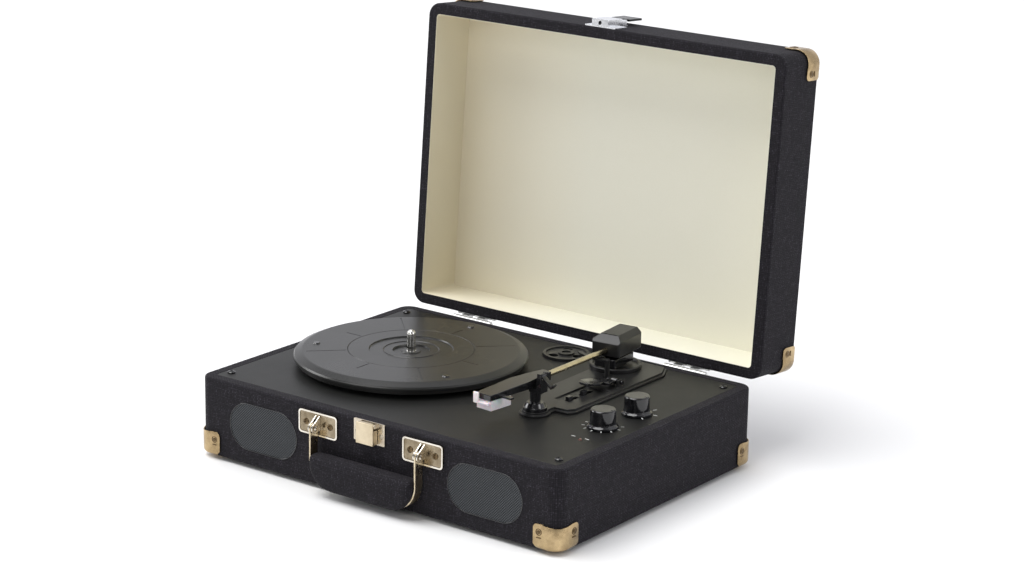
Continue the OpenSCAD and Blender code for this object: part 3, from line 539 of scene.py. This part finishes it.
# ---- parts whose solids are right and get eased edges ----
eased = [
    # node, piece, paint, edge radius, steps
    ("deck_plate", "deckPanel", "deck", 0.0005, 3),
    ("tonearm_base", "armPlate", "satin", 0.0004, 3),
    ("pivot_pedestal", "armPedestal", "satin", 0.0003, 2),
    ("tonearm_yoke", "armYoke", "gloss", 0.0004, 3),
    ("tonearm_housing", "armHousing", "satin", 0.0005, 3),
    ("headshell", "headshellBody", "gloss", 0.0004, 3),
    ("cartridge", "cartridgeBody", "satin", 0.0003, 2),
    ("stylus_guard", "stylusGuard", "guard", 0.0003, 3),
    ("arm_rest", "armRest", "gloss", 0.0003, 3),
    ("arm_clip", "armClip", "gloss", 0.0003, 3),
    ("cue_lever", "cueLever", "gloss", 0.0003, 3),
    ("cue_platform", "cuePlatform", "satin", 0.0003, 2),
    ("speed_switch", "speedSwitch", "gloss", 0.0003, 2),
    ("autostop_switch", "autostopSwitch", "gloss", 0.0003, 2),
    ("volume_knob", "volumeKnob", "knob", 0.0002, 3),
    ("mode_knob", "modeKnob", "knob", 0.0002, 3),
    ("adapter_45", "singlesAdapter", "satin", 0.0003, 2),
    ("speaker_grilles", "speakerMeshes", "mesh", 0.0003, 2),
    ("handle_strap", "handleStrap", "gilt", 0.0004, 3),
    ("handle_brackets", "handleBrackets", "brackets", 0.00015, 2),
    ("latch_plate", "latchPlate", "nickel", 0.00015, 2),
    ("latch_lever", "latchLever", "latchGilt", 0.0004, 3),
    ("lid_catch", "lidCatch", "bright", 0.0002, 2),
    # the catch lever is painted near-black: painted shade
    ("catch_lever", "catchLever", "leverShade", 0.0002, 2),
    ("hinge_base_leaves", "hingeBaseLeaves", "hinge", 0.00015, 2),
    ("hinge_lid_leaves", "hingeLidLeaves", "hinge", 0.00015, 2),
    ("rear_panel", "rearPanel", "satin", 0.0003, 2),
    ("rubber_feet", "rubberFeet", "rubber", 0.0005, 3),
    ("lid_lining", "lidLining", "lining", 0.00015, 2),
]
for node, name, paint, width, steps in eased:
    piece = cleanCopy(node, name)
    roundEdges(piece, width, steps)
    smooth(piece)
    standFor(piece, paint, node)
print("edges eased on", len(eased), "parts")

# the strap's lower run is sewn inside the padding, so its middle isn't drawn
strapCut = {"size": (0.060, 0.03, 0.012), "rise": 0.003}
strap = bpy.data.objects["handleStrap"]
gripLow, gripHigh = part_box("handle_grip")
hidden = block((0, (gripLow.y + gripHigh.y) / 2, gripLow.z + strapCut["rise"]), strapCut["size"])
modify(strap, "BOOLEAN", operation="DIFFERENCE", solver="EXACT", object=hidden)
bpy.data.objects.remove(hidden)

# ---- rims round the speaker cloth ----
grilleRim = {"width": 0.069, "wall": 0.0007, "proud": 0.0004, "round": 0.0002, "endShare": 0.4995,
             "endSteps": 18}
near = 0.00002
grilleLow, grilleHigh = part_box("speaker_grilles")
grilleTall = grilleHigh.z - grilleLow.z
for side in (1, -1):
    spot = (side * (grilleHigh.x - grilleRim["width"] / 2), grilleLow.y, (grilleLow.z + grilleHigh.z) / 2)
    rim = block(spot, (grilleRim["width"], 2 * grilleRim["proud"], grilleTall))
    rim.name = "rightSpeakerRim" if side > 0 else "leftSpeakerRim"
    chooseEdges(rim, lambda a, b: abs(a.x - b.x) < near and abs(a.z - b.z) < near)
    bevelChosen(rim, grilleTall * grilleRim["endShare"], grilleRim["endSteps"])
    chooseFaces(rim, lambda c, n: abs(n.y) > 0.9)
    inEdit(rim, lambda: bpy.ops.mesh.delete(type="FACE"))
    modify(rim, "SOLIDIFY", thickness=grilleRim["wall"], offset=0)
    roundEdges(rim, grilleRim["round"], 2, 50)
    smooth(rim, 50, False)
    standFor(rim, "knob", body="case")
print("speaker rims set")

# the platter keeps its crisp rings and is only shaded smooth
disc = cleanCopy("platter", "platterDisc")
smooth(disc, 9)
standFor(disc, "platter", "platter")

# ---- nodes whose solids stay as they are ----
kept = {
    "base_walls": "board", "base_bottom": "blackBoard", "lid_box": "board", "deck_screws": "knob",
    "platter_studs": "gloss", "spindle": "steel", "spindle_bush": "bush", "drive_belt": "rubber",
    "motor": "can", "motor_pulley": "bush", "motor_grommets": "rubber", "arm_pivot_pin": "steel",
    "tonearm_tube": "champagne", "stylus": "stylus", "counterweight": "iron", "control_pots": "can",
    "circuit_board": "solder", "power_led": "led", "speaker_drivers": "satin", "speaker_cones": "cone",
    "handle_pins": "nickel", "bracket_screws": "bronzeAndSlotShade", "latch_pin": "steel", "hinge_pins": "steel",
    "rear_jacks": "steel",
}
for node, paint in kept.items():
    wear(nodes[node], paint)

# ---- pressed brass corners ----
corner = {"reach": 0.0238, "upright": 0.0118, "foot": 0.0034, "end": 0.0036, "thickness": 0.0008, "lip": 0.0002,
          "cut": 0.0252, "clip": 0.0042, "dip": 0.0014, "dipRadius": 0.046, "dipDepth": 0.08}
cornerLow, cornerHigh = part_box("base_corners")
reach = corner["reach"]
tall = cornerHigh.z - cornerLow.z
brass = block((-reach / 2, reach / 2, tall / 2), (reach, reach, tall))
chooseEdges(brass, lambda a, b: max(abs(a.x), abs(b.x), abs(a.y), abs(b.y)) < near)
bevelChosen(brass, corner["upright"], 12)
# the back, the far side and the top are open
chooseFaces(brass, lambda c, n: n.z > 0.9 or n.x < -0.9 or n.y > 0.9)
inEdit(brass, lambda: bpy.ops.mesh.delete(type="FACE"))
chooseEdges(brass, lambda a, b: max(a.z, b.z) < near and min(a.x, b.x) > -reach - near
            and not (abs(a.x + reach) < near and abs(b.x + reach) < near)
            and not (abs(a.y - reach) < near and abs(b.y - reach) < near))
bevelChosen(brass, corner["foot"], 5)
# the underside loses its inner corner
chooseFaces(brass, lambda c, n: n.z < -0.95)
cutAt = corner["cut"] / math.sqrt(2)
inEdit(brass, lambda: bpy.ops.mesh.bisect(plane_co=(-cutAt, cutAt, 0), plane_no=(-1, 1, 0), clear_outer=True))
chooseNothing(brass, "VERT")
for vertex in brass.data.vertices:
    atEnd = abs(vertex.co.x + reach) < near or abs(vertex.co.y - reach) < near
    vertex.select = atEnd and abs(vertex.co.z - tall) < near
bevelChosen(brass, corner["end"], 5, corners=True)
# the lower free ends are clipped, and the upper edge dips between the nail tabs
clip = corner["clip"]
for at, facing in (((-reach + clip, 0, 0), (-1, 0, -1)), ((0, reach - clip, 0), (0, 1, -1))):
    inEdit(brass, selectAll, lambda: bpy.ops.mesh.bisect(plane_co=at, plane_no=facing, clear_outer=True))
modify(brass, "SOLIDIFY", thickness=corner["thickness"], offset=-1)
scoop = settle(fresh(bpy.ops.mesh.primitive_cylinder_add, vertices=96, radius=corner["dipRadius"],
                     depth=corner["dipDepth"], location=(0, 0, tall - corner["dip"] + corner["dipRadius"]),
                     rotation=(math.pi / 2, 0, math.pi / 4)))
modify(brass, "BOOLEAN", operation="DIFFERENCE", solver="EXACT", object=scoop)
bpy.data.objects.remove(scoop)
roundEdges(brass, corner["lip"], 2, 50)

nails = {"in": 0.0185, "drop": 0.0062, "head": 0.0016, "headFlat": 0.42, "loop": 0.0024, "wire": 0.0004,
         "loopFlat": 0.9, "bar": (0.0042, 0.0011, 0.0007), "barDrop": 0.0044, "barRound": 0.0002}
nailHeight = tall - nails["drop"]
# the loops and bars are dark bronze standing in for the slots pressed into the brass: painted shade; the nail
# heads are dark bronze too
trims = []
for x, y, turn in ((-nails["in"], 0, 0), (0, nails["in"], math.pi / 2)):
    spot = (x, y, nailHeight)
    nail = settle(fresh(bpy.ops.mesh.primitive_uv_sphere_add, segments=24, ring_count=12, radius=nails["head"],
                        location=spot))
    loop = settle(fresh(bpy.ops.mesh.primitive_torus_add, major_segments=28, minor_segments=8,
                        major_radius=nails["loop"], minor_radius=nails["wire"], location=spot,
                        rotation=(math.pi / 2, 0, turn)))
    bar = block((x, y, nailHeight - nails["barDrop"]), nails["bar"], turn)
    roundEdges(bar, nails["barRound"], 2)
    # heads and loops are flattened against the face they hold
    for small, share in ((nail, nails["headFlat"]), (loop, nails["loopFlat"])):
        for vertex in small.data.vertices:
            if turn:
                vertex.co.x *= share
            else:
                vertex.co.y *= share
    trims += [nail, loop, bar]
pick(*trims)
bpy.ops.object.join()
trim = bpy.context.object


def cornerSet(master, name, paint, node, zFlip, lift, swing):
    # four copies round the outline, mirrored into their places
    copies = []
    for sx in (1, -1):
        for sy in (1, -1):
            made = master.copy()
            made.data = master.data.copy()
            bpy.context.scene.collection.objects.link(made)
            spot = Vector((cornerHigh.x * sx, plan.y + (cornerLow.y - plan.y) * sy, lift))
            made.matrix_world = swing @ Matrix.Translation(spot) @ Matrix.Diagonal((sx, sy, zFlip, 1))
            settle(made)
            inEdit(made, selectAll, lambda: bpy.ops.mesh.normals_make_consistent(inside=False))
            copies.append(made)
    pick(*copies)
    bpy.ops.object.join()
    made = bpy.context.object
    made.name = name
    smooth(made, 50, False)
    if master is brass:
        standFor(made, paint, node)
    else:
        standFor(made, paint, body=bodyOf[node])


# the nails, loops and bars wear dark bronze, which on the loops and bars is painted shade for the pressed slots
for master, kind, paint in ((brass, "CornerCaps", "antique"), (trim, "CornerNails", "bronzeAndSlotShade")):
    cornerSet(master, "base" + kind, paint, "base_corners", 1, cornerLow.z, Matrix.Identity(4))
    cornerSet(master, "lid" + kind, paint, "lid_corners", -1, lidPeak + corner["thickness"], openLid)
    bpy.data.objects.remove(master)
print("corners pressed")

# ---- padded grip ----
grip = {"inset": 0.0005, "footRadius": 0.0205, "edge": 0.0034, "voxel": 0.0021, "pressure": 4.0, "frames": 14,
        "cap": 0.0009}
pad = block((gripLow + gripHigh) / 2, [s - 2 * grip["inset"] for s in gripHigh - gripLow])
pad.name = "gripPad"
footZ = gripLow.z + grip["inset"]
chooseEdges(pad, lambda a, b: abs(a.z - footZ) < near and abs(b.z - footZ) < near and abs(a.x - b.x) < near)
bevelChosen(pad, grip["footRadius"], 8)
roundEdges(pad, grip["edge"], 4)
modify(pad, "REMESH", mode="VOXEL", voxel_size=grip["voxel"])


def padOut(piece, pressure, frames, cap):
    # cloth blown up from inside, with the travel of every point capped
    before = [v.co.copy() for v in piece.data.vertices]
    pick(piece)
    made = piece.modifiers.new("Cloth", "CLOTH")
    made.settings.use_pressure = True
    made.settings.uniform_pressure_force = pressure
    made.settings.effector_weights.gravity = 0
    made.settings.quality = 5
    scene = bpy.context.scene
    for step in range(1, frames + 1):
        scene.frame_set(step)
    bpy.ops.object.modifier_apply(modifier=made.name)
    scene.frame_set(1)
    for vertex, start in zip(piece.data.vertices, before):
        move = vertex.co - start
        if move.length > cap:
            vertex.co = start + move * (cap / move.length)


padOut(pad, grip["pressure"], grip["frames"], grip["cap"])
modify(pad, "SMOOTH", factor=0.5, iterations=4)
modify(pad, "SUBSURF", levels=1, render_levels=1)
smooth(pad, 60, False)
standFor(pad, "gripCloth", "handle_grip")
print("grip padded")

# ---- printed marks on the deck ----
marks = {"thickness": 0.00003, "width": 0.0007, "round": 0.0002, "dial": 0.0136, "lampGap": 0.0062,
         "lampTick": 0.0036}
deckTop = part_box("deck_plate")[1].z


def tick(x, y, length, turn):
    made = block((x, y, deckTop + marks["thickness"] / 2), (length, marks["width"], marks["thickness"]), turn)
    inEdit(made, selectAll, lambda: bpy.ops.mesh.bevel(offset=marks["round"], segments=2, affect="VERTICES",
                                                       clamp_overlap=True))
    return made


def dial(centre, start, end, count, length):
    # ticks of one length, fanned round a knob
    found = []
    away = marks["dial"] + length / 2
    for i in range(count):
        angle = math.radians(start + (end - start) * i / (count - 1))
        x = centre.x + away * math.cos(angle)
        y = centre.y + away * math.sin(angle)
        found.append(tick(x, y, length, angle))
    return found


def middle(node):
    low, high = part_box(node)
    return (low + high) / 2


ticks = dial(middle("volume_knob"), 150, 390, 9, 0.0024)
ticks += dial(middle("mode_knob"), -40, 60, 3, 0.0034)
lamp = middle("power_led")
ticks += [tick(lamp.x + side * marks["lampGap"], lamp.y, marks["lampTick"], 0) for side in (-1, 1)]
pick(*ticks)
bpy.ops.object.join()
deckMarks = bpy.context.object
deckMarks.name = "deckMarks"
standFor(deckMarks, "ink", body="case")
print("deck marked")

# ---- coloured rings in the sockets ----
ring = {"outer": 0.0034, "inner": 0.0017, "slack": 0.0001, "flat": 0.35, "sunk": 0.0003}
sockets = [
    # mount, piece, paint
    ("rca_left", "whiteSocketRing", "whitePlastic"),
    ("rca_right", "redSocketRing", "redPlastic"),
]
for mount, name, paint in sockets:
    at = Vector(mountOf[mount]["pos_m"])
    at.y += mountOf[mount]["dims"]["length_mm"] / 2000 - ring["slack"]
    made = fresh(bpy.ops.mesh.primitive_torus_add, location=at, rotation=(math.pi / 2, 0, 0),
                 major_segments=40, minor_segments=10, major_radius=(ring["outer"] + ring["inner"]) / 2,
                 minor_radius=(ring["outer"] - ring["inner"]) / 2 - ring["slack"])
    made.name = name
    settle(made)
    for vertex in made.data.vertices:
        vertex.co.y = at.y + (vertex.co.y - at.y) * ring["flat"] - ring["sunk"]
    smooth(made, 60, False)
    standFor(made, paint, body="case")

# ---- floor, light and camera ----
floor = fresh(bpy.ops.mesh.primitive_plane_add, size=14, location=(0, 0, 0))
floor.name = "floor"
p = Paint("paleFloor", rough=0.8, specular=0.2)
p.set("color", p.blend(p.noise(p.place(), 3, 2), (0.86, 0.86, 0.86), (0.88, 0.88, 0.88)))
floor.data.materials.append(p.material)

studio = {"color": (0.95, 0.955, 1.0, 1), "shown": 1.12, "From Min": -0.35, "From Max": 0.45, "To Min": 0.16,
          "To Max": 0.95}
world = bpy.data.worlds.new("studio")
bpy.context.scene.world = world
world.use_nodes = True
sky = world.node_tree
backdrop = sky.nodes["Background"]
backdrop.inputs["Color"].default_value = studio["color"]
# white all round to look at; as light it is bright behind the object and dim in front of it
rays = sky.nodes.new("ShaderNodeLightPath")
heading = sky.nodes.new("ShaderNodeTexCoord")
parts = sky.nodes.new("ShaderNodeSeparateXYZ")
depth = sky.nodes.new("ShaderNodeMapRange")
shown = sky.nodes.new("ShaderNodeMath")
shown.operation = "MAXIMUM"
behind = sky.nodes.new("ShaderNodeMath")
behind.operation = "MULTIPLY"
behind.inputs[1].default_value = studio["shown"]
for key in ("From Min", "From Max", "To Min", "To Max"):
    depth.inputs[key].default_value = studio[key]
sky.links.new(heading.outputs["Generated"], parts.inputs[0])
sky.links.new(parts.outputs["Y"], depth.inputs["Value"])
sky.links.new(depth.outputs[0], shown.inputs[0])
sky.links.new(rays.outputs["Is Camera Ray"], behind.inputs[0])
sky.links.new(behind.outputs[0], shown.inputs[1])
sky.links.new(shown.outputs[0], backdrop.inputs["Strength"])

daylight = {"strength": 2.4, "spread": 45, "tilt": (14, -16, 0)}
sun = bpy.data.lights.new("overhead", "SUN")
sun.energy = daylight["strength"]
sun.angle = math.radians(daylight["spread"])
overhead = bpy.data.objects.new("overhead", sun)
bpy.context.scene.collection.objects.link(overhead)
overhead.rotation_euler = [math.radians(angle) for angle in daylight["tilt"]]

lights = [
    # name, place, aim, size, watts
    ("leftLight", (-1.9, -0.6, 1.0), (0, 0, 0.1), 0.9, 14),
    ("frontLight", (0.5, -2.4, 1.3), (0, 0.1, 0.15), 1.1, 12),
    ("rightLight", (1.9, 0.1, 1.2), (0, 0, 0.1), 0.7, 6),
]
for name, place, aim, size, watts in lights:
    light = bpy.data.lights.new(name, "AREA")
    light.size = size
    light.energy = watts
    made = bpy.data.objects.new(name, light)
    bpy.context.scene.collection.objects.link(made)
    made.location = place
    made.rotation_mode = "QUATERNION"
    made.rotation_quaternion = (Vector(aim) - Vector(place)).to_track_quat("-Z", "Y")

shot = {"azimuth": 36.80, "elevation": 15.99, "roll": 0.97, "lens": 95.7, "sensor": 36,
        "place": (1.24238, -1.64679, 0.72686)}
camera = bpy.data.cameras.new("camera")
camera.lens = shot["lens"]
camera.sensor_width = shot["sensor"]
eye = bpy.data.objects.new("camera", camera)
bpy.context.scene.collection.objects.link(eye)
turn = (Matrix.Rotation(math.radians(shot["azimuth"]), 4, "Z")
        @ Matrix.Rotation(math.radians(90 - shot["elevation"]), 4, "X")
        @ Matrix.Rotation(math.radians(shot["roll"]), 4, "Z"))
eye.matrix_world = Matrix.Translation(Vector(shot["place"])) @ turn
bpy.context.scene.camera = eye
bpy.context.scene.view_settings.view_transform = "Standard"
print("stage set")
